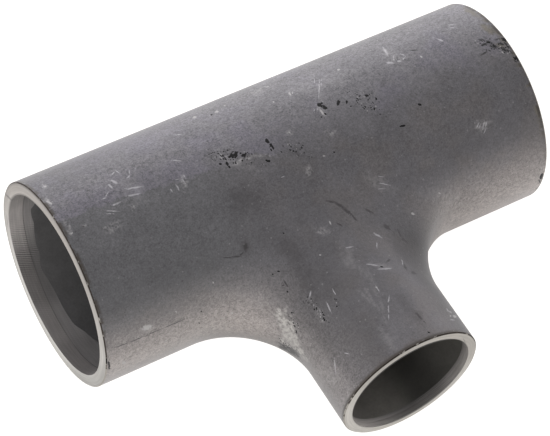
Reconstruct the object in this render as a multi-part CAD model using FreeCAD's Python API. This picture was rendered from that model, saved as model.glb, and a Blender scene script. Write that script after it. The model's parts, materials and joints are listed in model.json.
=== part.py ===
import FreeCAD, Part
import math
import os

# Reducing tee for butt welding, bulged in a die from one length of seamless steel tube.
# The run lies along X and the branch leaves it towards -Y. The origin is the point where the two
# centre lines cross, and +Z is up. The tee lies as it comes to rest on a flat surface: on the lowest
# line of the run and on the lower edge of the branch end, so the branch dips by a few degrees.
# It is shaped with the branch level, and dips at the very end.
# Lengths are in millimetres and angles in degrees.

Vector = FreeCAD.Vector
origin = Vector(0, 0, 0)
along_run = Vector(1, 0, 0)
along_branch = Vector(0, -1, 0)
across = Vector(0, 1, 0)
upright = Vector(0, 0, 1)

# Outside sizes
run_outside = 48.3
branch_outside = 33.7
run_centre_to_end = 57.0
branch_centre_to_end = 57.0

# Rolled blend between run and branch: tight in the crotches, wide over the flanks of the run
crotch_radius = 17.5
flank_radius = 36.0
blend_sections = 72

# Wall at the turned ends, and the metal that stays over it where the bore is left as formed
run_end_wall = 2.9
branch_end_wall = 2.2
run_forming_allowance = 0.82
branch_forming_allowance = 0.2
crotch_wall = 4.2

# Turned mouths: a straight bore, then a shallow taper that runs out in the raw bore
run_turned_depth = 3.4
branch_turned_depth = 1.3
run_out_angle = 15.0

# Fine bevel that breaks the outer edge of each end
edge_break = 0.25

# The raw bore of the run is pressed slightly oval towards its ends, on a slant
run_ovality = 0.27
ovality_slant = 45.0

# Sizes that follow
run_radius = run_outside / 2
branch_radius = branch_outside / 2
run_bore_radius = run_radius - run_end_wall
branch_bore_radius = branch_radius - branch_end_wall
run_raw_radius = run_bore_radius - run_forming_allowance
branch_raw_radius = branch_bore_radius - branch_forming_allowance
run_raw_wall = run_radius - run_raw_radius
branch_raw_wall = branch_radius - branch_raw_radius
diagonal = math.sqrt(2)
corner_wall = (run_raw_wall + branch_raw_wall) / diagonal
inner_crotch_radius = crotch_radius + (corner_wall - crotch_wall) / (diagonal - 1)
inner_flank_radius = flank_radius + (run_raw_wall + branch_raw_wall) / 2
overrun = 1.0
run_out_margin = 0.2
hairline = 1e-3


def rolled_arc(turn, run_r, branch_r, in_crotch, on_flank):
    # A ball rolls round the branch and touches both cylinders. Its radius swells from the crotch, at
    # a turn of 0, to the flank, at a quarter turn, and this arc joins its two points of contact.
    ball = in_crotch + (on_flank - in_crotch) * math.sin(turn) ** 2
    x = (branch_r + ball) * math.cos(turn)
    z = (branch_r + ball) * math.sin(turn)
    y = -math.sqrt((run_r + ball) ** 2 - z ** 2)
    centre = Vector(x, y, z)
    on_run = Vector(x, y * run_r / (run_r + ball), z * run_r / (run_r + ball))
    on_branch = Vector(x * branch_r / (branch_r + ball), y, z * branch_r / (branch_r + ball))
    deepest = (on_run - centre).normalize() + (on_branch - centre).normalize()
    middle = centre + deepest.normalize() * ball
    return Part.Wire(Part.Arc(on_run, middle, on_branch).toShape())


def rolled_blend(run_r, branch_r, in_crotch, on_flank):
    # A quarter of the blend, from a crotch to a flank
    step = math.pi / 2 / blend_sections
    arcs = [rolled_arc(step * count, run_r, branch_r, in_crotch, on_flank)
            for count in range(blend_sections + 1)]
    return Part.makeLoft(arcs, False, False).Faces[0]


def four_quarters(shape):
    upper_and_lower = [shape, shape.mirror(origin, upright)]
    return upper_and_lower + [part.mirror(origin, along_run) for part in upper_and_lower]


def lies_on_run(edge, run_r):
    points = edge.discretize(Number=5)
    return all(abs(math.hypot(point.y, point.z) - run_r) < hairline for point in points)


def lies_on_branch(edge, branch_r):
    points = edge.discretize(Number=5)
    return all(abs(math.hypot(point.x, point.z) - branch_r) < hairline for point in points)


def stretched(edge, x, y, z):
    scale = FreeCAD.Matrix()
    scale.scale(Vector(x, y, z))
    return edge.transformGeometry(scale).Edges[0]


def trimmed_side(cylinder, knife, keep):
    # The round face of a cylinder is cut along the blend, and one piece of it is kept
    side = [face for face in cylinder.Faces if isinstance(face.Surface, Part.Cylinder)][0]
    pieces = side.generalFuse(four_quarters(knife))[0].Faces
    return [face for face in pieces if isinstance(face.Surface, Part.Cylinder) and keep(face.BoundBox)]


def flat_ends(cylinder, keep):
    return [face for face in cylinder.Faces if isinstance(face.Surface, Part.Plane) and keep(face.BoundBox)]


def blended_tee(run_r, branch_r, run_reach, branch_reach, in_crotch, on_flank):
    # Two crossing cylinders, each trimmed where the blend leaves it, closed into one solid
    blend = rolled_blend(run_r, branch_r, in_crotch, on_flank)
    run_edge = [edge for edge in blend.Edges if lies_on_run(edge, run_r)][0]
    branch_edge = [edge for edge in blend.Edges if lies_on_branch(edge, branch_r)][0]
    run_knife = Part.makeRuledSurface(stretched(run_edge, 1, 0.8, 0.8), stretched(run_edge, 1, 1.2, 1.2))
    branch_knife = Part.makeRuledSurface(stretched(branch_edge, 0.8, 1, 0.8),
                                         stretched(branch_edge, 1.2, 1, 1.2))
    run = Part.makeCylinder(run_r, 2 * run_reach, Vector(-run_reach, 0, 0), along_run)
    branch = Part.makeCylinder(branch_r, branch_reach, origin, along_branch)
    faces = four_quarters(blend)
    faces += trimmed_side(run, run_knife, lambda box: box.YMax > 0)
    faces += trimmed_side(branch, branch_knife, lambda box: box.YMin < hairline - branch_reach)
    faces += flat_ends(run, lambda box: True)
    faces += flat_ends(branch, lambda box: box.YMin < hairline - branch_reach)
    skin = Part.Compound(faces)
    skin.sewShape()
    return Part.Solid(skin.Shells[0])


def oval_mouth(start, end):
    # Raw bore that changes from round at the start to slightly oval at the end
    round_section = Part.Circle(Vector(start, 0, 0), along_run, run_raw_radius).toShape()
    oval = Part.Ellipse(origin, run_raw_radius + run_ovality, run_raw_radius - run_ovality).toShape()
    oval.rotate(origin, upright, ovality_slant)
    oval.rotate(origin, across, 90)
    oval.translate(Vector(end, 0, 0))
    return Part.makeLoft([Part.Wire(round_section), Part.Wire(oval)], True, True)


def raw_passage():
    # The hollow of run and branch as formed
    blend_end = branch_raw_radius + inner_crotch_radius
    mouth_start = (blend_end + run_centre_to_end - run_turned_depth) / 2
    mouth_end = run_centre_to_end + overrun
    hollow = blended_tee(run_raw_radius, branch_raw_radius, mouth_start, branch_centre_to_end + overrun,
                         inner_crotch_radius, inner_flank_radius)
    for side in (-1, 1):
        hollow = hollow.fuse(oval_mouth(side * mouth_start, side * mouth_end))
    return hollow


def turned_mouth(reach, outward, bore_r, depth, least_raw_r):
    # Straight bore from the end face inwards, then the taper, which ends below the raw bore
    inward = outward * -1
    small_r = least_raw_r - run_out_margin
    taper_length = (bore_r - small_r) / math.tan(math.radians(run_out_angle))
    straight = Part.makeCylinder(bore_r, depth + overrun, outward * (reach + overrun), inward)
    taper = Part.makeCone(bore_r, small_r, taper_length, outward * (reach - depth), inward)
    return straight.fuse(taper)


def is_outer_rim(edge):
    # The full circles where an end face meets the outside of run or branch
    if not isinstance(edge.Curve, Part.Circle):
        return False
    run_rim = abs(edge.Curve.Radius - run_radius) < hairline
    branch_rim = abs(edge.Curve.Radius - branch_radius) < hairline
    return run_rim or branch_rim


def rest_dip():
    # Angle by which the branch drops until the bevelled edge of its end is as low as the run
    reach = branch_centre_to_end - edge_break
    lean = math.asin(run_radius / math.hypot(reach, branch_radius))
    return math.degrees(lean - math.atan2(branch_radius, reach))


def tee_body():
    body = blended_tee(run_radius, branch_radius, run_centre_to_end, branch_centre_to_end,
                       crotch_radius, flank_radius)
    body = body.cut(raw_passage())
    for outward in (along_run, along_run * -1):
        body = body.cut(turned_mouth(run_centre_to_end, outward, run_bore_radius, run_turned_depth,
                                     run_raw_radius - run_ovality))
    body = body.cut(turned_mouth(branch_centre_to_end, along_branch, branch_bore_radius,
                                 branch_turned_depth, branch_raw_radius))
    body = body.Solids[0].removeSplitter()
    body = body.makeChamfer(edge_break, [edge for edge in body.Edges if is_outer_rim(edge)])
    body.rotate(origin, along_run, rest_dip())
    return body.Solids[0]


os.makedirs("parts", exist_ok=True)
tee_body().exportStep("parts/tee_body.step")
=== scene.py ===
import json
import math
import random

import bpy
import numpy as np
from mathutils import Matrix, Vector


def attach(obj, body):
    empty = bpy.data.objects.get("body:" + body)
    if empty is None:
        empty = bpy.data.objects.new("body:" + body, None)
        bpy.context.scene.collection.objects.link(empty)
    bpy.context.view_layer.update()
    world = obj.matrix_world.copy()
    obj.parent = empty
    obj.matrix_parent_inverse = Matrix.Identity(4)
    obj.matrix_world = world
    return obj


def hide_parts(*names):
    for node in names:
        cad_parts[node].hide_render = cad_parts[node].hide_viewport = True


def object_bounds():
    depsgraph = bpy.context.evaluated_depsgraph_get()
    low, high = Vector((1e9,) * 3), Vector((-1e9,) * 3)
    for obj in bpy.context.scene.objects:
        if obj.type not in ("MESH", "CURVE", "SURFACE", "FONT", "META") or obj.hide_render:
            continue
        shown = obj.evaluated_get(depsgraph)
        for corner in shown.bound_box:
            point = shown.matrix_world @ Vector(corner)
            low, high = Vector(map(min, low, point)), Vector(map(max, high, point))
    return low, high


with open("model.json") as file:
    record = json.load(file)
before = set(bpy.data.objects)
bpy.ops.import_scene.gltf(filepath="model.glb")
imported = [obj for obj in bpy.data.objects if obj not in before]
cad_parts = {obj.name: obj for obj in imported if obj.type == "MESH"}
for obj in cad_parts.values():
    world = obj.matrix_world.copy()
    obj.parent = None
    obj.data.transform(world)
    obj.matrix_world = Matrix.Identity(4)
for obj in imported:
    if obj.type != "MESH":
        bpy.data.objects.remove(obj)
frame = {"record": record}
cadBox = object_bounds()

random.seed(7)
mm = 0.001
mounts = {mount["name"]: mount for mount in frame["record"]["mounts"]}
dip = math.asin(-mounts["branch_face"]["axis"][2])   # the branch hangs by this angle as the tee rests


# Shader maths

class Wire:
    # A shader value that can be written in sums; each sum adds its Math node
    def __init__(self, finish, socket):
        self.finish = finish
        self.socket = socket

    def math(self, operation, *others):
        values = dict(enumerate((self,) + others))
        return self.finish.add("Math", {"operation": operation}, values)

    def __add__(self, other):
        return self.math("ADD", other)

    def __sub__(self, other):
        return self.math("SUBTRACT", other)

    def __rsub__(self, other):
        return self.finish.add("Math", {"operation": "SUBTRACT"}, {0: other, 1: self})

    def __mul__(self, other):
        return self.math("MULTIPLY", other)

    def __truediv__(self, other):
        return self.math("DIVIDE", other)

    __radd__ = __add__
    __rmul__ = __mul__


class Nodes:
    # A tree of nodes, and the ways to add to it
    def __init__(self, tree):
        self.tree = tree

    def add(self, kind, settings=None, sockets=None, out=0):
        made = self.tree.nodes.new("ShaderNode" + kind)
        for name, value in (settings or {}).items():
            setattr(made, name, value)
        for name, value in (sockets or {}).items():
            self.feed(made.inputs[name], value)
        return Wire(self, made.outputs[out])

    def feed(self, socket, value):
        if isinstance(value, Wire):
            self.tree.links.new(value.socket, socket)
        elif socket.type == "RGBA":
            socket.default_value = (*value, 1)
        else:
            socket.default_value = value

    def rise(self, value, low, high, bottom=0.0, top=1.0):
        # Smooth step from bottom to top while the value goes from low to high
        span = {"Value": value, "From Min": low, "From Max": high, "To Min": bottom, "To Max": top}
        return self.add("MapRange", {"interpolation_type": "SMOOTHSTEP"}, span)

    def dot(self, first, second):
        return self.add("VectorMath", {"operation": "DOT_PRODUCT"}, {0: first, 1: second}, out="Value")


class Finish(Nodes):
    # A material
    def __init__(self, name, roughness=0.5, metallic=1.0):
        self.material = bpy.data.materials.new(name)
        self.material.use_nodes = True
        super().__init__(self.material.node_tree)
        self.shader = self.tree.nodes["Principled BSDF"]
        self.shader.inputs["Metallic"].default_value = metallic
        self.shader.inputs["Roughness"].default_value = roughness

    def place(self, turn=0.0):
        # Object coordinates in mm, turned about X
        where = self.add("TexCoord", out="Object")
        settings = {"Vector": where, "Rotation": (turn, 0, 0), "Scale": (1 / mm,) * 3}
        return self.add("Mapping", None, settings)

    def parts(self, vector):
        split = self.add("SeparateXYZ", None, {0: vector})
        return [Wire(self, socket) for socket in split.socket.node.outputs]

    def noise(self, vector, size, detail=2.0, roughness=0.5, out=0):
        # Noise around 0.5, grey or as a vector; size is that of its largest grains, in mm
        settings = {"Vector": vector, "Scale": 1 / size, "Detail": detail, "Roughness": roughness}
        return self.add("TexNoise", None, settings, out)

    def specks(self, vector, spacing, share, radius, shift=(0, 0, 0)):
        # Small round specks, in mm: a share of the cells has one; a shift gives another pattern
        vector = self.add("VectorMath", {"operation": "ADD"}, {0: vector, 1: shift})
        settings = {"Vector": vector, "Scale": 1 / spacing}
        far = self.add("TexVoronoi", None, settings)
        lot = self.parts(Wire(self, far.socket.node.outputs["Color"]))[0]
        reach = (lot - (1 - share)) * (radius / spacing / share)
        edge = 0.04   # over this part of the spacing a speck fades
        return self.rise(far - reach, edge, -edge)

    def near(self, name, bend):
        # 0 in the middle of the nearest mark of this kind, 1 at its edge; uneven by the bend
        place = self.add("Attribute", {"attribute_name": name}, out="Vector")
        place = self.add("VectorMath", {"operation": "ADD"}, {0: place, 1: bend})
        return self.add("VectorMath", {"operation": "LENGTH"}, {0: place}, out="Value")

    def bend(self, vector, size, amount):
        wave = self.noise(vector, size, 2, 0.6, out=1)
        settings = {0: wave, 1: (amount,) * 3, 2: (-amount / 2,) * 3}
        return self.add("VectorMath", {"operation": "MULTIPLY_ADD"}, settings)

    def blend(self, share, first, second):
        return self.add("Mix", {"data_type": "RGBA"}, {0: share, 6: first, 7: second}, out=2)

    def shade(self, colour, value):
        # The colour times a grey value or times another colour
        if value.socket.type == "VALUE":
            value = self.add("CombineColor", None, {0: value, 1: value, 2: value})
        settings = {"data_type": "RGBA", "blend_type": "MULTIPLY"}
        return self.add("Mix", settings, {0: 1.0, 6: colour, 7: value}, out=2)

    def bump(self, height, depth):
        return self.add("Bump", None, {"Height": height, "Strength": 1.0, "Distance": depth * mm})

    def set(self, **links):
        for name, value in links.items():
            self.feed(self.shader.inputs[name.replace("_", " ")], value)


# The tee's form, shaped with the branch level along -Y and dipped at the end

tee = {
    "runReach": cadBox[1][0] / mm,
    "runRadius": cadBox[1][2] / mm,
    "runBore": mounts["run_left_bore"]["dims"]["r_mm"],
    "runBoreDepth": mounts["run_left_bore"]["dims"]["length_mm"],
    "branchReach": 57.0,
    "branchRadius": 16.85,
    "branchBore": mounts["branch_bore"]["dims"]["r_mm"],
    "branchBoreDepth": mounts["branch_bore"]["dims"]["length_mm"],
    "bevel": 0.25,
    "taper": 15.0,          # degrees, from the turned bore to the raw one
    "crotchBall": 17.5,     # radius of the rolled blend in the crotches, and over the flanks
    "flankBall": 36.0,
    "runRaw": 20.43,        # bores as formed, and the blend inside
    "branchRaw": 14.45,
    "innerCrotchBall": 17.81,
    "innerFlankBall": 39.06,
    "ovality": 0.27,        # the raw bore of the run turns oval towards its ends
    "ovalFrom": 42.9,
    "ovalTo": 58.0,
    "ovalSlant": 45.0,
    "endLines": 136,        # mesh lines round a run end, and along the back of the run
    "backLines": 104,
    "outerRows": (24, 32, 48),   # mesh rows along the branch, over the blend and along the run
    "innerRows": (10, 16, 22),
    "faceRings": 3,         # mesh rings on an end face, in a turned bore and on a taper
    "runRings": (4, 4),
    "branchRings": (3, 2),
    "mergeUnder": 0.002,    # points closer than this are one
    "smoothUnder": 12,      # degrees; sharper edges stay sharp
    "rightTurn": 140,       # degrees by which the wandering edge of the right end is turned
}
lines = 2 * (tee["endLines"] + tee["backLines"])
slope = math.tan(math.radians(tee["taper"]))
ovalGrowth = tee["ovality"] / (tee["ovalTo"] - tee["ovalFrom"])


def deselectAll():
    if bpy.context.object and bpy.context.object.mode == "EDIT":
        bpy.ops.object.mode_set(mode="OBJECT")
    bpy.ops.object.select_all(action="DESELECT")


def rawRadius(along, round_):
    grown = np.clip(np.abs(along) - tee["ovalFrom"], 0, None) * ovalGrowth
    return tee["runRaw"] + grown * np.cos(2 * (round_ - math.radians(tee["ovalSlant"])))


# Where the raw bore lies deeper or shallower along its edge with the taper: degrees round from the
# top over the front, and mm
edgeWander = {
    0: 0.1, 20: 0.0, 40: 0.12, 65: -0.05, 90: -0.1, 110: -0.2, 130: -0.3, 158: -0.3, 172: -0.11, 181: 0.15,
    193: 0.15, 205: 0.11, 215: 0.2, 222: 0.33, 228: 0.22, 232: 0.13, 237: 0.21, 245: 0.19, 254: 0.15,
    261: 0.28, 267: 0.34, 272: 0.12, 290: 0.22, 310: 0.05, 330: 0.18, 345: 0.02, 360: 0.1,
}


def lip(round_, side):
    # Extra radius of the raw bore where the taper meets it, so that their edge wanders
    turn = (90 - np.degrees(round_)) % 360
    turn = np.where(side < 0, turn, (turn + tee["rightTurn"]) % 360)
    return np.interp(turn, list(edgeWander), list(edgeWander.values()))


def runOut(round_, side):
    # How far from the centre the taper ends in the raw bore
    growth = ovalGrowth * np.cos(2 * (round_ - math.radians(tee["ovalSlant"])))
    depth = tee["runReach"] - tee["runBoreDepth"]
    drop = tee["runBore"] - tee["runRaw"] - lip(round_, side)
    return (slope * depth - drop - growth * tee["ovalFrom"]) / (slope - growth)


def boreRadius(along, round_):
    # The raw bore runs up to the lip over its last millimetres
    side = np.sign(along)
    share = (np.abs(along) - tee["ovalFrom"]) / (runOut(round_, side) - tee["ovalFrom"])
    return rawRadius(along, round_) + lip(round_, side) * np.clip(share, 0, 1) ** 2


def taperRadius(along):
    return tee["runBore"] - slope * (tee["runReach"] - tee["runBoreDepth"] - along)


def allOf(items, key, width=1, kind=float):
    values = np.empty(len(items) * width, dtype=kind)
    items.foreach_get(key, values)
    return values if width == 1 else values.reshape(-1, width)


def wrapSheet(name, across, along, place):
    # A flat grid whose points all move to their place on the form
    deselectAll()
    bpy.ops.mesh.primitive_grid_add(x_subdivisions=across, y_subdivisions=along, size=2)
    sheet = bpy.context.object
    sheet.name = name
    u, v = (allOf(sheet.data.vertices, "co", 3)[:, :2].T + 1) / 2
    sheet.data.vertices.foreach_set("co", (place(u, v) * mm).ravel())
    return sheet


def lineEnds(u):
    # The lines leave the branch all round and end on the run: right end, back, left end, back
    end, back = tee["endLines"], tee["backLines"]
    corners = [0, end / 2, end / 2 + back, end * 1.5 + back, end * 1.5 + 2 * back, lines]
    side = np.interp(u * lines, corners, [1, 1, -1, -1, 1, 1])
    round_ = np.interp(u * lines, corners, [0, 1, 1, -1, -1, 0]) * math.pi
    return side, round_


def skin(u, v, form):
    # From the branch end along the branch, over the blend and out over the run
    branchRows, blendRows, runRows = form["rows"]
    row = v * sum(form["rows"])
    turn = u * 2 * math.pi
    runR, branchR = form["runR"], form["branchR"]

    # A ball rolls round the branch and touches both tubes; it swells from crotch to flank
    ball = form["crotchBall"] + (form["flankBall"] - form["crotchBall"]) * np.sin(turn) ** 2
    x = (branchR + ball) * np.cos(turn)
    z = (branchR + ball) * np.sin(turn)
    y = -np.sqrt((runR + ball) ** 2 - z ** 2)
    centre = np.stack([x, y, z], axis=1)
    onRun = np.stack([x, y * runR / (runR + ball), z * runR / (runR + ball)], axis=1)
    onBranch = np.stack([branchR * np.cos(turn), y, branchR * np.sin(turn)], axis=1)

    straight = onBranch.copy()
    share = np.clip(row / branchRows, 0, 1)
    straight[:, 1] = form["branchEnd"] + (y - form["branchEnd"]) * share

    swing = np.clip((row - branchRows) / blendRows, 0, 1)
    fromBranch, fromRun = onBranch - centre, onRun - centre
    angle = np.arccos(np.sum(fromBranch * fromRun, axis=1) / ball ** 2)
    rolled = centre + (np.sin((1 - swing) * angle) / np.sin(angle))[:, None] * fromBranch
    rolled += (np.sin(swing * angle) / np.sin(angle))[:, None] * fromRun

    far = np.clip((row - branchRows - blendRows) / runRows, 0, 1)
    side, endRound = lineEnds(u)
    reach = form["reach"](endRound, side)
    along = x + (side * reach - x) * far
    startRound = np.arctan2(onRun[:, 2], -onRun[:, 1])
    round_ = startRound + (endRound - startRound) * far
    radius = form["radius"](along, round_)
    tube = np.stack([along, -radius * np.cos(round_), radius * np.sin(round_)], axis=1)
    past = row[:, None]
    return np.where(past < branchRows, straight, np.where(past < branchRows + blendRows, rolled, tube))


branchRunOut = (tee["branchBore"] - tee["branchRaw"]) / slope
outside = {
    "rows": tee["outerRows"],
    "runR": tee["runRadius"],
    "branchR": tee["branchRadius"],
    "crotchBall": tee["crotchBall"],
    "flankBall": tee["flankBall"],
    "branchEnd": tee["bevel"] - tee["branchReach"],
    "reach": lambda round_, side: tee["runReach"] - tee["bevel"],
    "radius": lambda along, round_: tee["runRadius"],
}
inside = {
    "rows": tee["innerRows"],
    "runR": tee["runRaw"],
    "branchR": tee["branchRaw"],
    "crotchBall": tee["innerCrotchBall"],
    "flankBall": tee["innerFlankBall"],
    "branchEnd": branchRunOut + tee["branchBoreDepth"] - tee["branchReach"],
    "reach": runOut,
    "radius": boreRadius,
}


def turnedMouth(name, axis, count, rings):
    # A circle that is extruded and resized from ring to ring: (distance from centre, radius) in mm
    deselectAll()
    distance, radius = rings[0]
    turn = (0, math.pi / 2, 0) if axis[0] else (math.pi / 2, 0, 0)
    place = Vector(axis) * distance * mm
    bpy.ops.mesh.primitive_circle_add(vertices=count, radius=radius * mm, location=place, rotation=turn)
    mouth = bpy.context.object
    mouth.name = name
    bpy.ops.object.transform_apply(location=True, rotation=True, scale=False)
    bpy.ops.object.mode_set(mode="EDIT")
    bpy.ops.mesh.select_all(action="SELECT")
    for nextDistance, nextRadius in rings[1:]:
        step = Vector(axis) * (nextDistance - distance) * mm
        bpy.ops.mesh.extrude_region_move(TRANSFORM_OT_translate={"value": step})
        if nextRadius != radius:
            ratio = nextRadius / radius
            scale = [1 if part else ratio for part in axis]
            bpy.ops.transform.resize(value=scale, center_override=Vector(axis) * nextDistance * mm)
        distance, radius = nextDistance, nextRadius
    bpy.ops.object.mode_set(mode="OBJECT")
    return mouth


def evenly(first, last, count):
    # Rings between two, the last included
    return [tuple(a + (b - a) * step / count for a, b in zip(first, last)) for step in range(1, count + 1)]


def mouthRings(tube):
    # The broken edge, the end face and the turned bore
    reach, bevel = tee[tube + "Reach"], tee["bevel"]
    outer = (reach - bevel, tee[tube + "Radius"])
    face = (reach, tee[tube + "Radius"] - bevel)
    bore = (reach, tee[tube + "Bore"])
    deep = (reach - tee[tube + "BoreDepth"], tee[tube + "Bore"])
    return [outer, face] + evenly(face, bore, tee["faceRings"]) + evenly(bore, deep, tee[tube + "Rings"][0])


def runMouth(name, side):
    mouth = turnedMouth(name, (side, 0, 0), tee["endLines"], mouthRings("run"))
    deep = tee["runReach"] - tee["runBoreDepth"]

    def taper(u, v):
        # The taper runs out in the raw bore along a wandering edge
        round_ = u * 2 * math.pi
        along = deep + (runOut(round_, side) - deep) * v
        radius = taperRadius(along)
        return np.stack([side * along, -radius * np.cos(round_), radius * np.sin(round_)], axis=1)

    return [mouth, wrapSheet(name + "_taper", tee["endLines"], tee["runRings"][1], taper)]


def branchMouth(name):
    deep = (tee["branchReach"] - tee["branchBoreDepth"], tee["branchBore"])
    end = (-inside["branchEnd"], tee["branchRaw"])
    rings = mouthRings("branch") + evenly(deep, end, tee["branchRings"][1])
    return turnedMouth(name, (0, -1, 0), lines, rings)


print("skins of the tee")
outer = wrapSheet("outer", lines, sum(outside["rows"]), lambda u, v: skin(u, v, outside))
inner = wrapSheet("inner", lines, sum(inside["rows"]), lambda u, v: skin(u, v, inside))
print("turned mouths")
mouths = runMouth("left", -1) + runMouth("right", 1) + [branchMouth("branch")]


def joined(pieces, name):
    # One closed mesh, dipped as it rests
    deselectAll()
    for piece in pieces:
        piece.select_set(True)
    bpy.context.view_layer.objects.active = pieces[0]
    bpy.ops.object.join()
    body = bpy.context.object
    body.name = name
    body.data.name = name
    bpy.ops.object.mode_set(mode="EDIT")
    bpy.ops.mesh.select_all(action="SELECT")
    bpy.ops.mesh.remove_doubles(threshold=tee["mergeUnder"] * mm)
    bpy.ops.mesh.normals_make_consistent(inside=False)
    bpy.ops.mesh.select_all(action="DESELECT")
    bpy.ops.mesh.select_mode(type="VERT")
    bpy.ops.mesh.select_non_manifold()
    bpy.ops.object.mode_set(mode="OBJECT")
    print("open points:", sum(vertex.select for vertex in body.data.vertices))
    body.data.transform(Matrix.Rotation(dip, 4, "X"))
    return body


def setZone(piece, zone):
    # The finish of every face of a piece, by its number in the list of finishes
    for polygon in piece.data.polygons:
        polygon.material_index = zone(polygon) if callable(zone) else zone


steels = {
    "formed": Finish("formedSteel", 0.45, 0.6),
    "raw": Finish("rawSteel", 0.7, 0.3),
    "runEdge": Finish("runEdge", 0.5),
    "branchEdge": Finish("branchEdge", 0.5),
    "runFace": Finish("turnedRunFace", 0.4),
    "branchFace": Finish("turnedBranchFace", 0.4),
    "runBore": Finish("turnedRunBore", 0.6, 0.6),
    "branchBore": Finish("turnedBranchBore", 0.6, 0.6),
    "runTaper": Finish("turnedRunTaper", 0.6, 0.6),
}
zones = {name: number for number, name in enumerate(steels)}
flatEnd = 0.9   # a face that looks along the tube by this much is on its end


def mouthZone(tube, axis):
    # Finds the finish of a face of this tube's turned mouths
    def zone(polygon):
        place = polygon.center / mm
        if abs(polygon.normal[axis]) > flatEnd:
            return zones[tube + "Face"]
        if math.hypot(place[1 - axis], place[2]) > tee[tube + "Radius"] - tee["bevel"]:
            return zones[tube + "Edge"]
        if tube == "run" and abs(place[axis]) < tee["runReach"] - tee["runBoreDepth"]:
            return zones["runTaper"]
        return zones[tube + "Bore"]
    return zone


print("one closed tee")
for piece in [outer, inner] + mouths:
    for steel in steels.values():
        piece.data.materials.append(steel.material)
setZone(outer, zones["formed"])
setZone(inner, zones["raw"])
for mouth in mouths[:-1]:
    setZone(mouth, mouthZone("run", 0))
setZone(mouths[-1], mouthZone("branch", 1))
body = joined([outer, inner] + mouths, "tee")
deselectAll()
body.select_set(True)
bpy.context.view_layer.objects.active = body
bpy.ops.object.shade_smooth_by_angle(angle=math.radians(tee["smoothUnder"]))
print("tee:", len(body.data.polygons), "faces")
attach(body, "root")
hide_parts("tee_body")

# Camera
view = {
    "place": (-0.213565, -0.331924, 0.443494),
    "turn": (41.0269, -1.7122, -30.7360),   # degrees
    "lens": 172.035,
    "sensor": 36,
    "width": 550,    # the photograph's frame, in pixels
    "height": 436,
}
turn = [math.radians(angle) for angle in view["turn"]]
bpy.ops.object.camera_add(location=view["place"], rotation=turn)
camera = bpy.context.object
camera.data.lens = view["lens"]
camera.data.sensor_width = view["sensor"]
bpy.context.scene.camera = camera
bpy.context.view_layer.update()


# Marks of use, where the photograph shows them: each runs from one of its points to another and is
# that wide there, all in pixels of its 550 x 436 frame. The camera casts them onto the steel.
marks = {}
marks["pits"] = [
    (231.2, 157, 233.4, 153.6, 4.9), (234, 156.2, 236.4, 153.6, 4.9), (231.8, 152.4, 232.8, 152, 1.8),
    (232.6, 158.6, 233.8, 158.4, 1.8), (229.2, 157.2, 230.6, 156.4, 2.4), (242.5, 155.5, 245, 155.3, 3),
    (226.8, 162.4, 227.6, 164.6, 2.8), (228.6, 166, 229.6, 167.4, 2), (220, 164, 221.2, 164, 2),
    (224.6, 158, 225.6, 158.6, 1.5), (214.5, 152.5, 215.2, 153, 1.3), (218, 153.5, 218.6, 154, 1.3),
    (220.6, 155.5, 221.4, 156.2, 1.5), (216, 156, 216.6, 156.4, 1.2), (223, 158.8, 223.8, 159.4, 1.5),
    (220.3, 158.8, 220.8, 159, 1.2), (234.8, 161, 235.4, 162.2, 2.2), (222.4, 156, 223, 156.8, 1.5),
    (226, 160.4, 226.6, 161, 1.6), (201, 311, 201.5, 311.4, 1.4), (198.8, 322.6, 199.3, 323, 1.4),
    (266.8, 140.4, 267.6, 142.2, 3.4), (270.7, 145.3, 272.2, 148, 4.4), (271, 149.5, 271.8, 151, 1.5),
    (267, 160.7, 269.3, 161.5, 2.7), (281, 152, 281.8, 152, 1.5), (318.8, 104.8, 321.5, 105.5, 3.8),
    (321.5, 103, 322, 104.5, 2.4), (323, 106.5, 325.5, 108.2, 3.2), (338, 104.6, 338.6, 102, 3.3),
    (346.7, 102.8, 346.9, 101.2, 2.5), (365.5, 95.2, 367.8, 96, 2.5), (359.4, 96.2, 360, 96, 1.4),
    (350.8, 106.4, 351.3, 106.2, 1.3), (376, 98.4, 376.8, 99.6, 1.9), (374.3, 108.3, 374.6, 109.8, 1.5),
    (401, 126.3, 404.3, 125.8, 2.4), (418.8, 104.2, 420.6, 105, 2.2), (419.3, 106, 420.8, 104, 1.3),
    (333.8, 152.3, 334.6, 152.5, 1.7), (211.3, 115, 212, 115, 1.6), (283, 233, 283.6, 233.4, 1.3),
    (6.3, 193.5, 6.1, 197.5, 1.4), (504, 38.8, 505.5, 41, 2.4), (513.5, 57.3, 515.6, 59.6, 2.1),
    (514.8, 61, 516, 62, 1.4), (106.9, 360, 108, 365.4, 2.2), (108.6, 362.5, 109.4, 368, 2.2),
    (278, 271.2, 279.3, 271.5, 1.5), (272.5, 274, 273, 274.4, 1.3), (287.5, 291.5, 288, 292, 1.4),
    (540.5, 178.5, 542.3, 174, 2.6), (325, 113.6, 325.8, 114.6, 1.6), (321.2, 117.3, 321.8, 117.3, 1.4),
    (516, 57.8, 517.5, 60, 3.2), (503, 40.2, 505.3, 39.2, 2.6), (487.5, 43, 490, 42.5, 1.8),
    (492.5, 45.6, 495, 46.6, 2.4), (427.8, 332.3, 429.2, 332.7, 1.6), (381, 266.6, 383, 267.2, 1.3),
]
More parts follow.
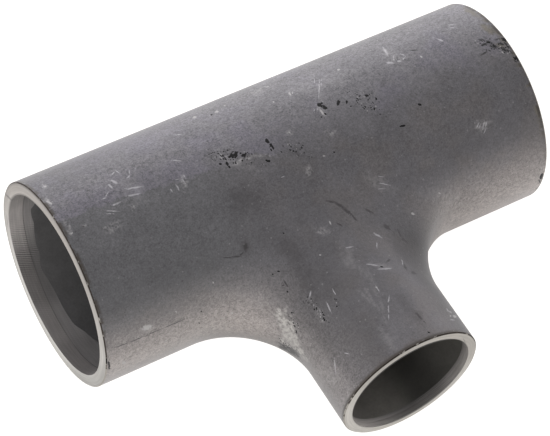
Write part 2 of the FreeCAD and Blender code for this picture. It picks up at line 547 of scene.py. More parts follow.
marks["smudges"] = [
    (479, 39, 485, 41.5, 2.5), (483, 45, 488, 42.5, 2.8), (487, 41.5, 493, 43.5, 3.2),
    (490, 45, 497, 47.5, 3.6), (495, 39.5, 505, 38.5, 2.4), (501, 47, 506, 50.5, 2.8),
    (504, 42, 509, 48, 2.2), (499, 43, 504, 45, 2.6), (484, 50, 492, 51, 1.4), (480.5, 55, 486.5, 52, 1.6),
    (507, 50, 510, 52, 2.4), (539, 180, 540.5, 183, 2), (279, 345.5, 289, 350.5, 4.4),
    (287, 349.5, 298, 356, 4), (410.5, 50.5, 418, 49.8, 1.4),
]
marks["scratches"] = [
    (42, 187.5, 46.5, 185.5, 1.2), (43, 184, 45.5, 188.5, 1), (47, 190, 50, 188.5, 1),
    (129, 169.5, 129.8, 175.5, 1.4), (127, 178, 129.8, 175.5, 1.8), (112, 174.5, 115.5, 170.5, 1.4),
    (115.5, 170.5, 119, 172.5, 1.2), (111, 180.6, 116.8, 182.6, 3), (108.6, 184.4, 112, 187.6, 2.2),
    (105.6, 197, 108, 192.5, 1.8), (102, 199.4, 106, 197.6, 1.6), (97, 201, 98.4, 200.4, 1.6),
    (126, 189, 142.5, 186.4, 1.9), (126.5, 196, 141, 193.6, 1.9), (112, 205.6, 120, 202, 2.2),
    (105, 210.6, 119.5, 211.4, 1.7), (105.5, 213.8, 116, 213.6, 1.1), (170.5, 189, 172.5, 192, 1.5),
    (176.3, 185, 179, 189.8, 1.7), (180.5, 176, 185, 183, 1.3), (183.5, 175, 186, 178.5, 1.2),
    (171.5, 160, 182, 161, 1), (174, 180, 179.5, 179, 0.9), (319.4, 78, 318.7, 99, 1.3),
    (314.5, 79, 314.3, 83.5, 1.1), (321.3, 79, 321, 88, 0.9), (314, 109, 314.8, 112.3, 1.5),
    (317.5, 108, 317.2, 111, 1.2), (383.2, 47.5, 388, 55, 2.1), (387.5, 62.5, 394, 62.8, 1.7),
    (393.4, 55.5, 394.2, 62, 1.3), (394.5, 58.5, 397.5, 60.5, 1.2), (396.5, 61, 402, 61.3, 1.5),
    (402, 61, 405.4, 56, 1.5), (400.6, 53.6, 404.8, 55.6, 1.3), (437, 38.5, 444, 41.7, 1.9),
    (447, 25, 455, 24.5, 1), (448, 28, 456, 27, 0.8), (482.5, 130, 484.5, 121, 1.2),
    (479.5, 128, 480.5, 124, 1.1), (485.5, 127, 487, 121.5, 1.1), (476, 129, 479, 123, 1),
    (484, 133, 486, 128.5, 0.9), (379.5, 183, 389.5, 185, 1.3), (377, 176, 384, 177, 0.9),
    (378, 189, 385, 188.5, 0.9), (374, 233.2, 382, 237.8, 2.3), (541.5, 171, 542, 167, 1),
    (366, 263.8, 380, 265.8, 1.3), (377.5, 269.2, 391.5, 268.3, 2), (376.8, 242.5, 377, 248, 1.4),
    (401.5, 258.5, 403, 265, 1.3), (345, 247.6, 352.5, 246.6, 1.4), (389.2, 296, 388.2, 303, 1.5),
    (388.3, 305, 388.6, 313, 1.5), (388.6, 313, 388.8, 320, 1.1), (375.5, 285.5, 380, 292.5, 1.2),
    (309.2, 298, 310.8, 291.5, 2), (313.5, 304, 314.3, 307.5, 1), (316, 306.5, 317.5, 311, 1),
    (319.5, 309, 321, 315, 1.2), (322.5, 312, 324.5, 318, 1), (43, 185, 46.5, 187.5, 1.3),
    (326.5, 302.5, 331, 312, 1.8), (332.5, 289, 335.5, 294.5, 1.3), (344, 353, 349.5, 354, 1.1),
    (334, 357.5, 336, 375, 1.3), (447, 308.5, 448.5, 311.5, 1.4), (449, 311, 451.8, 312.8, 1.8),
    (450.4, 319.4, 454, 320, 1.4), (281, 177.5, 285, 176, 1), (175.5, 134.8, 181, 134.3, 1.2),
    (262.5, 86.4, 268.5, 87.2, 1.1),
]
marks["spots"] = [
    (216.1, 111.9, 217.1, 111.4, 3.1), (193.8, 117.5, 195, 117, 2.6), (224, 105.5, 225, 105.5, 1.2),
    (290, 92, 290.5, 95, 1.8), (292.5, 92.5, 292, 95, 1.2), (273, 102, 274, 102, 1.2),
    (337.5, 70, 339, 69.5, 2.2), (267.5, 86.5, 268.5, 86.5, 1.2), (123, 362.5, 124.5, 363, 3),
    (145.2, 328.1, 149.6, 326.8, 5.4), (71, 233.5, 72, 233, 1.6), (421, 56.5, 422, 57, 1.8),
    (439, 193, 440, 193.5, 1.4), (412.5, 213.5, 413.5, 214, 3), (323, 156, 324.5, 156, 1.2),
    (289, 132, 290.5, 132.8, 1.6), (320.2, 110, 323.5, 114.5, 2.1), (454, 316.2, 455.6, 316.6, 2.8),
    (450.3, 315.9, 450.9, 316, 1.7), (320, 255, 320.6, 255, 1.6), (376, 287, 376.8, 287.6, 1.8),
    (329.7, 221.8, 330.8, 224, 1.7), (502.5, 52.2, 503.6, 52.8, 1.8), (289.5, 92.5, 290, 95.4, 2.2),
    (213, 282, 213.5, 283, 1.4), (231.8, 312.6, 232.2, 313.4, 1.5), (222, 318, 222.4, 318.4, 1.4),
    (166, 340, 166.5, 340.4, 1.5), (176, 311.4, 176.4, 312.4, 1.4), (47.5, 201.5, 51, 203.5, 2.4),
    (45, 186, 46, 186.6, 1.6),
]
marks["blotches"] = [
    (289, 132, 291, 132.5, 6), (329, 132, 331.5, 133, 10), (307, 170, 308.5, 171, 9),
    (319, 229, 325, 231.5, 9), (144.5, 329.5, 150.5, 327.5, 8), (46, 199, 52, 206.5, 7),
    (107, 229, 119, 224.5, 11), (319, 108, 325.5, 115, 5), (326, 380, 336, 379, 8), (64, 220, 72, 232, 5),
    (43, 183, 46, 188, 5), (47.5, 200, 51.5, 203.5, 5), (45, 199.5, 51.5, 204.5, 4),
    (67.5, 231, 72, 234.5, 3), (236, 163, 246, 158, 4.5), (245, 158.5, 257, 155.5, 5),
    (257, 155.6, 272, 155.6, 5), (478, 126, 486, 124, 12), (382, 49.5, 388, 53, 4), (390, 60, 404, 58, 5),
    (183, 178, 184, 185, 8), (131.5, 206, 135, 206.6, 5), (82, 225.5, 87, 225, 4), (250, 93, 262, 90, 9),
]
marks["stains"] = [
    (483, 26, 492, 30.5, 8), (464, 8, 478, 15.5, 6), (496, 31, 503, 36, 5), (497, 44, 505, 47, 5),
    (500, 38, 507, 42, 4), (512, 50, 516, 56, 4),
]
marks["rubs"] = [
    (356, 265, 369, 280, 7), (368, 279, 380, 298, 5), (379, 296, 386, 322, 5), (362, 284, 382, 316, 4),
    (344, 250, 354, 268, 14), (322, 366, 336, 386, 12), (310, 300, 324, 322, 9), (372, 262, 394, 270, 7),
    (380, 330, 395, 350, 10), (361, 267.5, 372, 283, 6), (366, 268, 378, 290, 5), (357, 289, 372, 303, 4),
    (368, 296, 381, 312, 4), (368, 176, 392, 190, 16), (312, 74, 321, 100, 10), (386, 52, 404, 66, 14),
    (100, 180, 142, 196, 22), (420, 190, 470, 206, 18), (300, 90, 360, 70, 20), (226, 158, 252, 168, 10),
]
marks["smear"] = [
    (278, 308, 281, 313, 3.6), (278.5, 313, 288, 323, 8), (283, 318, 292, 336, 12),
    (288, 332, 297, 348, 12), (283, 341, 288, 348, 6), (294, 345, 303, 356, 8),
]
marks["darkLines"] = [
    (327.5, 201, 336, 202.6, 2.4), (334, 202, 343.5, 207.8, 3.4), (342, 206.8, 351.5, 215, 3.8),
    (350.5, 214, 357, 221, 2), (365, 208.8, 373, 213.3, 2.4), (397.5, 230, 402, 239, 2),
    (401.5, 238.5, 406.5, 242.5, 2.8), (384.5, 225.5, 389, 229, 4), (412.3, 272.5, 415, 273.5, 3.4),
    (387, 261.8, 389.5, 259.8, 2.6), (403.5, 264, 406.5, 269.5, 2.4), (337.5, 223.5, 342, 226, 2),
    (115, 347.6, 130, 342, 1.1), (128, 343, 146, 335.5, 1.3), (144, 336.5, 161, 329, 1.1),
    (159, 330, 186, 318.5, 1), (442, 31, 445, 32, 1), (416.2, 313.5, 421.5, 319, 2.8),
    (422.5, 320, 425.5, 323, 1.3), (480.6, 55.6, 486, 52.6, 2), (279, 343, 290, 348.6, 3),
    (288, 347.6, 299, 354, 2.8), (245.4, 245.5, 246.4, 248.5, 5.5), (232, 257, 241, 256.2, 1.9),
    (240, 255.5, 245, 251, 2.2), (223, 257.5, 232, 257.5, 1.4), (284, 280.3, 287.8, 287, 1.8),
    (283.8, 280.6, 281.2, 284.6, 1.3), (282, 286, 284.4, 285, 1.3),
]
marks["darkPatches"] = [
    (236, 194, 247, 201, 30), (244.5, 243, 247, 251, 12), (283, 249.4, 290, 250, 6), (70, 260, 90, 300, 30),
    (396, 240, 408, 262, 16), (286, 151, 300, 149, 12), (284, 244, 300, 262, 24), (296, 262, 312, 286, 22),
    (400, 296, 420, 322, 16), (489, 22, 498, 32, 8), (488, 44, 504, 47, 12),
]
marks["ringLines"] = [(5.8, 194.4, 11.6, 200.4, 1.9), (463, 338, 466, 344, 0.7), (6.5, 214, 8, 228, 0.6)]
marks["speckled"] = [
    (214, 152, 252, 164, 16), (312, 302, 325, 319, 10), (333, 296, 337, 308, 5), (222, 158, 250, 153, 8),
    (287, 144, 302, 150, 12), (357, 95, 378, 108, 15), (481, 41, 510, 50, 11), (283, 341, 298, 352, 6),
    (292, 314, 300, 338, 7),
]
focal = view["lens"] / view["sensor"] * view["width"]


def castOnto(x, y):
    # The point of the tee that the camera sees at a pixel, and the way that its surface faces
    toward = Vector(((x - view["width"] / 2) / focal, (view["height"] / 2 - y) / focal, -1))
    toward = camera.matrix_world.to_3x3() @ toward
    hit, place, normal, index = body.ray_cast(camera.location, toward.normalized())
    return (place, normal) if hit else None


markDepth = 1.2   # half the depth of a mark's spindle, in mm


def spindles(name):
    # Each mark as a spindle in the steel: its centre, and its three axes over its half sizes, in mm
    found = []
    for x0, y0, x1, y1, width in marks[name]:
        x, y, long = (x0 + x1) / 2, (y0 + y1) / 2, math.hypot(x1 - x0, y1 - y0)
        wide = (width / 2 * (y0 - y1) / long, width / 2 * (x1 - x0) / long)
        beside = castOnto(x + wide[0], y + wide[1]) or castOnto(x - wide[0], y - wide[1])
        middle, first, last = castOnto(x, y), castOnto(x0, y0), castOnto(x1, y1)
        if not (middle and first and last and beside):
            print("off the tee:", name, x0, y0)
            continue
        place, normal = middle
        along = (last[0] - first[0]) / 2 * (1 + width / long) / mm
        across = (beside[0] - place) / mm
        acrossWay, alongWay = across.cross(normal), along.cross(normal)
        axes = (acrossWay / along.dot(acrossWay), alongWay / across.dot(alongWay))
        found.append((place / mm, (*axes, normal / max(markDepth, across.length))))
    return found


# The same marks at random on the sides that the photograph doesn't show: how many, and at most how
# long and how wide from their middle, in mm
strewn = {
    "pits": (70, 0.8, 0.5),
    "scratches": (130, 2.4, 0.14),
    "spots": (60, 0.4, 0.25),
    "blotches": (36, 2.2, 1.2),
    "smudges": (14, 1.6, 0.7),
    "stains": (8, 3, 1.5),
    "darkLines": (16, 2.5, 0.2),
    "darkPatches": (14, 5, 3),
}
leastSize = 0.3   # of the most
away = [(face.center.copy(), face.normal.copy(), face.area) for face in body.data.polygons
        if face.material_index == zones["formed"] and face.normal.dot(camera.location - face.center) < 0]


def strew(name):
    count, long, wide = strewn.get(name, (0, 0, 0))
    found = []
    for place, normal, area in random.choices(away, [area for place, normal, area in away], k=count):
        across = normal.cross([random.uniform(-1, 1) for axis in range(3)]).normalized()
        along = across.cross(normal)
        size = random.uniform(leastSize, 1)
        found.append((place / mm, (along / (long * size), across / (wide * size), normal / markDepth)))
    return found


offMarks = 9.0   # distance that is kept where no mark is near, in half sizes of a mark


def keepPlaces(name):
    # Every face keeps, at its corners, its place in the frame of the nearest mark, a ball of radius 1
    mesh = body.data
    corners = (allOf(mesh.vertices, "co", 3) / mm)[allOf(mesh.loops, "vertex_index", kind=int)]
    centres = allOf(mesh.polygons, "center", 3) / mm
    sizes = allOf(mesh.polygons, "loop_total", kind=int)
    kept = np.full(corners.shape, offMarks)
    nearest = np.full(len(sizes), offMarks)
    for place, axes in spindles(name) + strew(name):
        place, turn = np.array(place), np.array(axes).T
        far = np.linalg.norm((centres - place) @ turn, axis=1)
        chosen = far < nearest
        nearest[chosen] = far[chosen]
        ours = np.repeat(chosen, sizes)
        kept[ours] = (corners[ours] - place) @ turn
    attribute = mesh.attributes.new(name, "FLOAT_VECTOR", "CORNER")
    attribute.data.foreach_set("vector", kept.ravel())


for name in marks:
    keepPlaces(name)


# Finishes

formed = {
    "colour": (0.122, 0.119, 0.122),
    "left": (0.985, 1.0, 1.0),       # tints, which multiply the colour, from the left end to the right
    "right": (1.0, 0.989, 1.003),
    "olive": (1.04, 1.0, 0.97),      # clouds of olive
    "crest": (1.15, 1.14, 1.165),    # painted highlight: the crest is paler, with clouds of violet
    "violet": (1.15, 1.125, 1.24),
    "under": (2.95, 2.75, 2.52),     # painted light from the paper below, which makes the underside paler and browner
    "pit": (0.008, 0.0075, 0.0075),  # colours of the marks and the dirt
    "scratch": (0.46, 0.45, 0.46),
    "smear": (0.50, 0.485, 0.455),
    "chalk": (0.40, 0.39, 0.38),
    "dark": (0.042, 0.038, 0.038),
    "brown": (0.14, 0.122, 0.078),
    "rust": (0.095, 0.078, 0.068),
    "soil": (0.055, 0.046, 0.038),
    "brownShare": 0.6,
    "rustShare": 0.55,
    "dust": 0.22,                    # strength of the specks; that of soot alone, and what a blotch and
    "soot": (0.4, 0.5, -0.2),        # the underside add
    "chips": 0.6,
    "metallic": (0.6, 0.4),          # of the skin, and what a pit adds
    "roughness": 0.34,
    "rougher": {"cloud": 0.1, "grain": 0.12, "pits": 0.3},
    "height": {"grain": 0.5, "fine": 0.4, "cloud": 0.3, "pits": -1.4, "darkLines": -0.3, "scratches": -0.3},
    "bump": 0.06,                    # mm
    "sheen": 0.4,
}

# Noises: the size of the largest grains in mm, detail and roughness
noises = {
    "broad": (16, 3), "cloud": (4, 4, 0.6), "grain": (0.9, 3, 0.7), "fine": (0.35, 2, 0.6),
    "dirt": (2.6, 3, 0.6), "oliveNoise": (9, 3), "violetNoise": (13, 3, 0.6),
}
drawnOut = 0.15    # places along the run count so much, which makes the drawn grain long
backCoarse = 0.7   # how much stronger the grain is at the back and below the crest

# Where the skin changes: along which axis, from where to where in mm, and from how much to how much,
# if not 0 to 1
spans = {
    # grain
    "run": ("y", -22, -14, 0.56, 0.78), "back": ("y", -8, 4), "front": ("z", 14, -2),
    "aboveBelly": ("z", -4, -12, 1, 0.2), "farBack": ("y", 6, 16, 0, 0.6),
    "farRight": ("x", -30, 0, 0.8, 2.5), "farTop": ("z", -2, 10, 0.2, 1), "branch": ("y", -26, -38),
    "branchMiddle": ("x", -14, -9, 0, 0.3), "belly": ("z", -5, -14, 1, 0.5), "drawn": ("y", 0, 8),
    # lighter and darker places
    "brow": ("z", 9, 13, 0, 0.08), "browFront": ("y", -10, -14), "rightCrotch": ("x", 8, 14, 0, 0.35),
    "crotchLow": ("z", 0, -10), "leftCrest": ("x", -52, -14, -0.22, 0.08), "crestBack": ("y", 2, 12),
    "branchLeft": ("x", -3, -9, 0, 0.28), "branchTop": ("z", -1, 3),
    "sheltered": ("x", 6, 15, 0, 0.7),     # painted shade on the side of the branch that faces the right end
    "shelteredFrom": ("y", -24, -34),
    # tints
    "rightTint": ("x", -30, -8), "oliveRight": ("x", -25, 5), "olive": ("oliveNoise", 0.42, 0.62),
    "violetLeft": ("x", 10, -50, 0, 0.12), "violet": ("violetNoise", 0.47, 0.66),
    # painted light from the paper below on the underside, and where it is weaker
    "under": ("z", 13, -5), "underDeep": ("z", -3, -13, 0, 0.32), "underLeft": ("x", 25, 10),
    "underFrom": ("x", 4, 12, 0, 0.3), "underTo": ("x", 30, 22),
    "underBranch": ("y", -26, -38, 0, 0.62),
    # the line in front from where the painted highlight on the crest begins, in mm; it is ragged on its
    # left half
    "crestLeft": ("x", -56, -14, 0, -2.6), "crestMiddle": ("x", -12, -3, 0, -3.3),
    "crestRight": ("x", 0, 45, 0, 2.5), "crestWidth": ("x", -9, 6, 0.5, 4.0),
    # dirt along the cut ends
    "upper": ("z", 8, 15, 0.3, 1), "brownEnd": ("x", 55.2, 56.2), "brownDirt": ("dirt", 0.42, 0.55),
    "rustEnd": ("level", -54.2, -56.4), "rustDirt": ("dirt", 0.4, 0.6), "rustTop": ("z", 2, 10),
    "leftSoil": ("x", -55.8, -56.5), "leftSoilTop": ("z", 2, 11, 0.2, 1),
    "rightSoil": ("x", 55.8, 56.3), "soilDirt": ("dirt", 0.38, 0.55),
    "branchSoil": ("level", -55.9, -56.6), "branchDirt": ("dirt", 0.3, 0.44),
    # dust
    "dustBack": ("y", 0, 9, 0, 0.25), "dustRight": ("x", -28, -12),
}
crestLine = -3.1   # y of the line of the painted crest highlight before it bends, in mm

# How uneven the edges of the marks are: the size of the waves in mm, and their reach in half sizes
bends = {"soft": (2.0, 2.0), "sharp": (0.7, 1.7)}

# Each kind of mark: its edge, where it fades in half sizes, its colour and strength, and what each
# noise adds
layers = {
    "darkPatches": ("soft", (1.4, 0.0), "dark", 0.38, {}),
    "rubs": ("soft", (1.3, 0.2), "chalk", -0.323, {"cloud": 0.418, "grain": 0.456}),
    "blotches": ("soft", (1.3, 0.3), "chalk", -1.0, {"grain": 2.5}),
    "smear": ("soft", (1.3, 0.5), "smear", -1.2, {"grain": 3.6}),
    "smudges": ("soft", (1.2, 0.4), "pit", -1.3, {"grain": 5}),
    "darkLines": ("sharp", (1.3, 0.4), "dark", 0.85, {}),
    "scratches": ("sharp", (1.2, 0.4), "scratch", 0.32, {"grain": 0.62}),
    "spots": ("sharp", (1.2, 0.5), "chalk", 0.5, {"grain": 0.9}),
    "pits": ("sharp", (1.15, 0.85)),
    "speckled": ("soft", (1.4, 0.6)),
    "stains": ("soft", (1.3, 0.3)),
    "ringLines": ("even", (1.2, 0.5)),
}


def swing(noise, amount):
    # A noise as so much more or less
    return amount * (noise - 0.5)


def spanned(finish, axes):
    # Finds the share of a span from its name; a shift makes its edge ragged
    def on(name, shift=0):
        axis, *span = spans[name]
        value = axes[axis] + shift if shift else axes[axis]
        return finish.rise(value, *span)
    return on


def marked(finish, name, axes):
    # 1 on the marks of this kind, 0 off them
    edge, fade = layers[name][:2]
    return finish.rise(finish.near(name, axes.get(edge, (0, 0, 0))), *fade)


def skinColour(finish, axes, on, under):
    # Grey steel, mottled, with a coarser grain at the back, a painted crest highlight and painted light
    # below
    broad, cloud, grain, fine = (axes[name] for name in ("broad", "cloud", "grain", "fine"))
    coarse = on("back").math("MAXIMUM", on("front") * on("aboveBelly"))
    coarse = on("run") + backCoarse * coarse + on("farBack") * on("farRight") * on("farTop")
    coarse = coarse + swing(broad, 0.5)
    coarse = coarse * (1 - on("branch") * on("branchMiddle")) * on("belly")
    value = 1 + swing(broad, 0.4) + swing(cloud, 0.4)
    value = value + coarse * (swing(grain, 1.15) + swing(fine, 1.4))
    value = value * (1 - on("brow") * on("browFront")) * (1 + on("rightCrotch") * on("crotchLow"))
    drawn = finish.add("CombineXYZ", None, {0: axes["x"] * drawnOut, 1: axes["y"], 2: axes["z"]})
    value = value + swing(finish.noise(drawn, 2.5, 3, 0.6), 0.5) * on("drawn")
    value = value * (1 + on("leftCrest") * on("crestBack"))
    value = value * (1 - on("branch") * on("branchLeft") * on("branchTop"))
    # painted shade on the side of the branch that faces the right end
    value = value * (1 - on("sheltered", swing(cloud, 3)) * on("shelteredFrom"))

    # painted highlight on the crest, above a ragged line in front, with clouds of violet
    edge = crestLine + on("crestLeft") + on("crestMiddle") + on("crestRight")
    crest = finish.rise((axes["y"] - edge + swing(cloud, 3) + swing(grain, 3)) / on("crestWidth"), -1, 1)
    violet = finish.blend(on("violet", on("violetLeft")), formed["crest"], formed["violet"])
    tint = finish.blend(on("rightTint"), formed["left"], formed["right"])
    tint = finish.blend(on("olive") * on("oliveRight"), tint, formed["olive"])
    tint = finish.blend(crest, tint, violet)
    tint = finish.blend(under, tint, formed["under"])
    return finish.shade(finish.shade(formed["colour"], value), tint)


def endDirt(finish, axes, on, colour):
    # Dirt along the cut ends, brown at the right one and rusty at the upper side of the branch
    dirt = axes["dirt"]
    upper = on("upper")
    brown = marked(finish, "stains", axes)
    brown = brown.math("MAXIMUM", on("brownEnd", swing(dirt, 2)) * on("brownDirt") * upper)
    colour = finish.blend(brown * formed["brownShare"], colour, formed["brown"])
    rust = on("rustEnd", swing(dirt, 4)) * on("rustDirt") * on("rustTop")
    colour = finish.blend(rust * formed["rustShare"], colour, formed["rust"])
    soil = (on("leftSoil") * on("leftSoilTop")).math("MAXIMUM", on("rightSoil") * upper) * on("soilDirt")
    soil = soil.math("MAXIMUM", on("branchSoil") * on("branchDirt"))
    return finish.blend(soil, colour, formed["soil"])


def formedFinish(finish):
    p = finish.place()
    x, y, z = finish.parts(p)
    axes = {"x": x, "y": y, "z": z, "level": finish.parts(finish.place(-dip))[1]}
    for name, noise in noises.items():
        axes[name] = finish.noise(p, *noise)
    on = spanned(finish, axes)
    # painted light from the paper below, which makes the underside paler and browner
    under = on("under", swing(axes["cloud"], 6)) * (1 - on("underDeep") * on("underLeft"))
    under = under * (1 - on("underFrom") * on("underTo")) * (1 - on("underBranch"))
    for edge, wave in bends.items():
        axes[edge] = finish.bend(p, *wave)
    colour = endDirt(finish, axes, on, skinColour(finish, axes, on, under))

    def lay(colour, *kinds):
        for kind in kinds:
            tone, strength, added = layers[kind][2:]
            axes[kind] = marked(finish, kind, axes)
            strength = sum((amount * axes[noise] for noise, amount in added.items()), strength)
            colour = finish.blend(axes[kind] * strength, colour, formed[tone])
        return colour

    # soft marks first, then specks, lines and pits
    colour = lay(colour, "darkPatches", "rubs", "blotches", "smear")
    dust = finish.specks(p, 1.0, 0.3, 0.22) * (formed["dust"] + on("dustBack") * on("dustRight"))
    colour = finish.blend(dust, colour, formed["chalk"])
    alone, inBlotch, below = formed["soot"]
    soot = finish.specks(p, 1.1, 0.3, 0.24, (40, 0, 0))
    soot = soot * (alone + inBlotch * axes["blotches"] + below * under)
    colour = finish.blend(soot, colour, formed["dark"])
    colour = lay(colour, "smudges", "darkLines", "scratches", "spots")
    field = marked(finish, "speckled", axes)
    chips = finish.specks(p, 0.6, 0.6, 0.22, (0, 30, 0)) * field
    colour = finish.blend(chips * formed["chips"], colour, formed["chalk"])
    dots = finish.specks(p, 0.52, 0.85, 0.27) * field
    axes["pits"] = marked(finish, "pits", axes).math("MAXIMUM", dots)
    colour = finish.blend(axes["pits"], colour, formed["pit"])

    skin, pitted = formed["metallic"]
    finish.set(Base_Color=colour)
    finish.set(Metallic=skin + pitted * axes["pits"])
    finish.set(Roughness=sum((amount * axes[name] for name, amount in formed["rougher"].items()),
                             formed["roughness"]))
    height = sum(amount * axes[name] for name, amount in formed["height"].items())
    finish.set(Normal=finish.bump(height, formed["bump"]))
    finish.shader.inputs["Sheen Weight"].default_value = formed["sheen"]


# The turned ends
tooling = {
    "rings": (3.5, 3.5, 3),   # tool marks to a mm across and along, and round
    "waves": (240, 4.9, 5),   # chatter: waves to a radian and to a mm, and their unevenness
    "tone": (0.7, 0.6),       # grey, and what the rings add
    "wear": 14,               # how far wear moves the edge of the dull side, in mm
    "line": 0.8,              # strength of the line at the foot of a bore
    "bump": 0.03,             # mm
}


def roundAxis(finish, runAxis):
    # The place on the level tee, its x, y and z, and how far along, from and round the tube's axis
    p = finish.place(-dip)
    x, y, z = finish.parts(p)
    side, level = (y, x) if runAxis else (x, y)
    return p, (x, y, z), level, (side * side + z * z).math("SQRT"), z.math("ARCTAN2", side)


def paintedBranchLight(finish, x, *span):
    # Painted light and shade inside the branch: brightest on its left, darkest at its lower right
    return finish.rise(x, *span) * finish.rise(x, 8, 15.5, 1, 2.2)


def turnedFinish(finish, look, runAxis):
    # Fine rings left by the tool, with chatter across them in places
    p, (x, y, z), level, radius, angle = roundAxis(finish, runAxis)
    wear = finish.noise(p, 9, 4, 0.6)
    turning = [place * pitch for place, pitch in zip((radius, level, angle), tooling["rings"])]
    spun = finish.add("CombineXYZ", None, dict(enumerate(turning)))
    rings = finish.noise(spun, 1, 3, 0.6)
    aRadian, aMm, uneven = tooling["waves"]
    waves = (angle * aRadian + level * aMm + uneven * finish.noise(p, 3, 3)).math("SINE")
    chatter = waves * finish.rise(finish.noise(p, 5, 3), 0.35, 0.55) * look["chatter"]
    chatter = chatter * (0.15 + finish.rise(z, -4, -8) * finish.rise(z, -17, -13))
    pale = finish.rise(finish.dot(p, look["paleSide"]) + swing(wear, tooling["wear"]), *look["turnsPale"])
    colour = finish.blend(pale, look["dull"], look["pale"])
    line = finish.rise((level.math("ABSOLUTE") - look["line"]).math("ABSOLUTE"), 0.16, 0.04)
    line = line.math("MAXIMUM", marked(finish, "ringLines", {}))
    tone, byRings = tooling["tone"]
    value = (tone + byRings * rings + chatter) * (1 - tooling["line"] * wear * line)
    # painted light falling into the bore, brightest a little below its middle, with a painted glint near
    # its bottom
    if look["backLight"]:
        value = value * finish.rise(z + swing(wear, 3), *look["backLight"])
        value = value * finish.rise(z, 0, 8, 1, 0.65)
        glint = finish.rise(y, 9.5, 5.5, 0, 0.35) * finish.rise(y, -7, 0) * finish.rise(z, 0, -10)
        value = value * (1 + glint)
    # painted shade deeper in the branch bore, with painted light brightest on its left
    if look["fade"]:
        value = value * finish.rise(level, *look["fade"]) * paintedBranchLight(finish, x, -12, 4, 2.4, 0.5)
    if look["face"] == "run":
        rim, bore = tee["runRadius"], tee["runBore"]
        value = value * finish.rise(radius, 21.7, 23.6, 1.06, 0.92)
        shaded = finish.rise(z, 14, 20).math("MAXIMUM", finish.rise(y, 10, 20, 0, 0.45))
        value = value * (1 - shaded * finish.rise(radius, rim - 0.8, rim - 0.4, 0, 0.5))
        value = value * (1 - finish.rise(y, -4, -13, 0, 0.2) * finish.rise(z, 4, -4))
        # painted shade along the inner edge at the back, where a small chamfer isn't modelled
        value = value * (1 - finish.rise(radius, bore + 0.45, bore + 0.2, 0, 0.45) * finish.rise(y, 2, 9))
    if look["face"] == "branch":
        # a painted reflection of the dark bore stands in for the rounded inner edge, which the mesh doesn't
        # have; it is widest where the edge is rounded most
        past = radius - (tee["branchBore"] + 0.3 + 0.27 * (2 * angle - math.radians(220)).math("COSINE"))
        value = value * (1 - finish.rise(past, 0.1, -0.1) * finish.rise(z, -6, 6, 0.72, 0.93))
    finish.set(Base_Color=finish.shade(colour, value))
    finish.set(Normal=finish.bump(rings + 0.5 * chatter, tooling["bump"]))


def edgeFinish(finish, rim, runAxis):
    # Scale and dirt stay along the upper part of the outer edge of the cut
    p, (x, y, z), level, radius, angle = roundAxis(finish, runAxis)
    worn = finish.noise(p, 3, 4, 0.7) + finish.rise(z, 8, -8, 0, 0.2)
    worn = worn + finish.rise(x, -50, -54) * finish.rise(z, 4, -6, 0, 0.16)
    bare = finish.rise(worn, 0.55, 0.66).math("MAXIMUM", finish.rise(radius, rim - 0.22, rim - 0.26))
    if runAxis:
        bare = bare.math("MAXIMUM", finish.rise(level, 0, 10))
    colour = finish.blend(bare, (0.05, 0.042, 0.036), (0.45, 0.43, 0.39))
    finish.set(Base_Color=finish.blend(marked(finish, "pits", {}), colour, formed["pit"]))


def rawFinish(finish):
    # As formed, browner in the branch, with painted light and shade in it
    p = finish.place()
    x, y, z = finish.parts(p)
    deep = finish.rise(y, -20, -40)
    value = 0.55 + 0.5 * finish.noise(p, 3, 5) + 0.4 * finish.noise(p, 0.5, 3)
    value = value * (1 + deep * (0.62 * paintedBranchLight(finish, x, -4, 7, 3.3, 0.5) - 1))
    colour = finish.blend(deep, (0.088, 0.086, 0.085), (0.092, 0.088, 0.078))
    finish.set(Base_Color=finish.shade(colour, value))


# Each turned surface: its colours, its pale side and over how many mm it turns pale, how deep the
# chatter is, a line at the foot of the bore, and how the light falls in
plain = {"paleSide": (0, 0, 0), "turnsPale": (-8, 4), "chatter": 0.0, "line": 0.0, "backLight": None,
         "fade": None, "face": None}
turned = {
    "runFace": {**plain, "pale": (0.69, 0.685, 0.65), "dull": (0.44, 0.415, 0.385),
                "paleSide": (0, -0.26, -0.966), "turnsPale": (-18, 18), "face": "run"},
    "branchFace": {**plain, "pale": (0.69, 0.67, 0.625), "dull": (0.51, 0.49, 0.45),
                   "paleSide": (-0.3, 0, -0.95), "face": "branch"},
    "runBore": {**plain, "pale": (0.37, 0.35, 0.335), "dull": (0.27, 0.255, 0.245), "chatter": 0.34,
                "line": 53.6, "backLight": (-14.5, -4, 0.68, 1.5)},
    # painted shade: the taper has the bore's steel, made darker to offset the light that its tilt catches
    "runTaper": {**plain, "pale": (0.24, 0.23, 0.222), "dull": (0.19, 0.182, 0.178), "chatter": 0.26,
                 "line": 53.6, "backLight": (-14.5, -4, 0.57, 1.15)},
    "branchBore": {**plain, "pale": (0.4, 0.38, 0.36), "dull": (0.3, 0.28, 0.262), "chatter": 0.1,
                   "fade": (-54.9, -56.6, 0.42, 1.0)},
}
print("finishes")
formedFinish(steels["formed"])
rawFinish(steels["raw"])
edgeFinish(steels["runEdge"], tee["runRadius"], True)
edgeFinish(steels["branchEdge"], tee["branchRadius"], False)
for name, look in turned.items():
    turnedFinish(steels[name], look, name.startswith("run"))

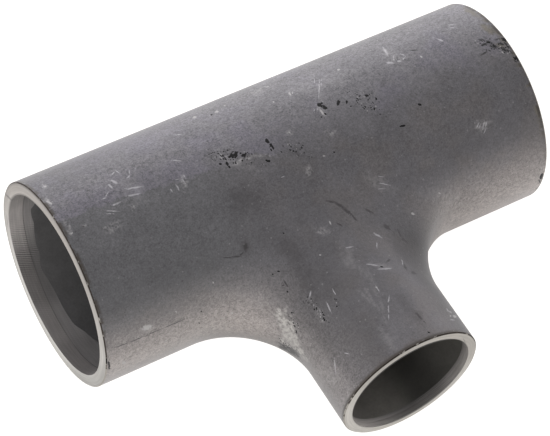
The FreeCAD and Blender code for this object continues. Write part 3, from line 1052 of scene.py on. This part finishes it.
# Floor: white paper, which the camera sees by its own glow
deselectAll()
bpy.ops.mesh.primitive_plane_add(size=6, location=(0, 0, cadBox[0][2]))
floor = bpy.context.object
floor.name = "floor"
paper = Finish("paper", 0.9, 0.0)
rays = paper.add("LightPath").socket.node.outputs
glowing = {"Is Camera Ray": 0.85, "Is Glossy Ray": 0.25, "Is Transmission Ray": 0.8}
straight, glossy, through = [Wire(paper, rays[ray]) * part for ray, part in glowing.items()]
share = straight.math("MAXIMUM", glossy).math("MAXIMUM", through)
paper.set(Base_Color=(0.9, 0.885, 0.86))
glow = paper.add("Emission", None, {"Color": (1.0, 0.985, 0.96), "Strength": 1.3})
mix = paper.add("MixShader", None, {0: share})
node = mix.socket.node
paper.tree.links.new(paper.shader.outputs[0], node.inputs[1])
paper.tree.links.new(glow.socket, node.inputs[2])
paper.tree.links.new(node.outputs[0], paper.tree.nodes["Material Output"].inputs[0])
floor.data.materials.append(paper.material)

# World: dim round the camera, bright behind the tee
light = {
    "colour": (1, 0.985, 1.02),
    "dim": 0.6,
    "bright": 1.9,
    "dimTo": 45,         # degrees from the dim side
    "brightFrom": 130,
    "azimuth": -178,     # of the dim side
    "height": 44,
}
world = bpy.data.worlds.new("studio")
bpy.context.scene.world = world
world.use_nodes = True
sky = Nodes(world.node_tree)
azimuth, height = math.radians(light["azimuth"]), math.radians(light["height"])
dimSide = (math.sin(azimuth) * math.cos(height), math.cos(azimuth) * math.cos(height), math.sin(height))
background = sky.tree.nodes["Background"]
sky.feed(background.inputs["Color"], light["colour"])
sky.feed(background.inputs["Strength"], sky.rise(
    sky.dot(sky.add("TexCoord", out="Generated"), dimSide), math.cos(math.radians(light["brightFrom"])),
    math.cos(math.radians(light["dimTo"])), light["bright"], light["dim"]))
bpy.context.scene.view_settings.view_transform = "Standard"

# A soft lamp low in front of the left end, like the light that pale paper throws back
card = {"place": (-0.44, -0.38, 0.0), "width": 0.4, "power": 3.5}
bpy.ops.object.light_add(type="AREA", location=card["place"])
lamp = bpy.context.object
lamp.name = "card"
lamp.data.size = card["width"]
lamp.data.energy = card["power"]
lamp.rotation_euler = (-lamp.location).to_track_quat("-Z", "Y").to_euler()
lamp.visible_camera = False
lamp.visible_glossy = False
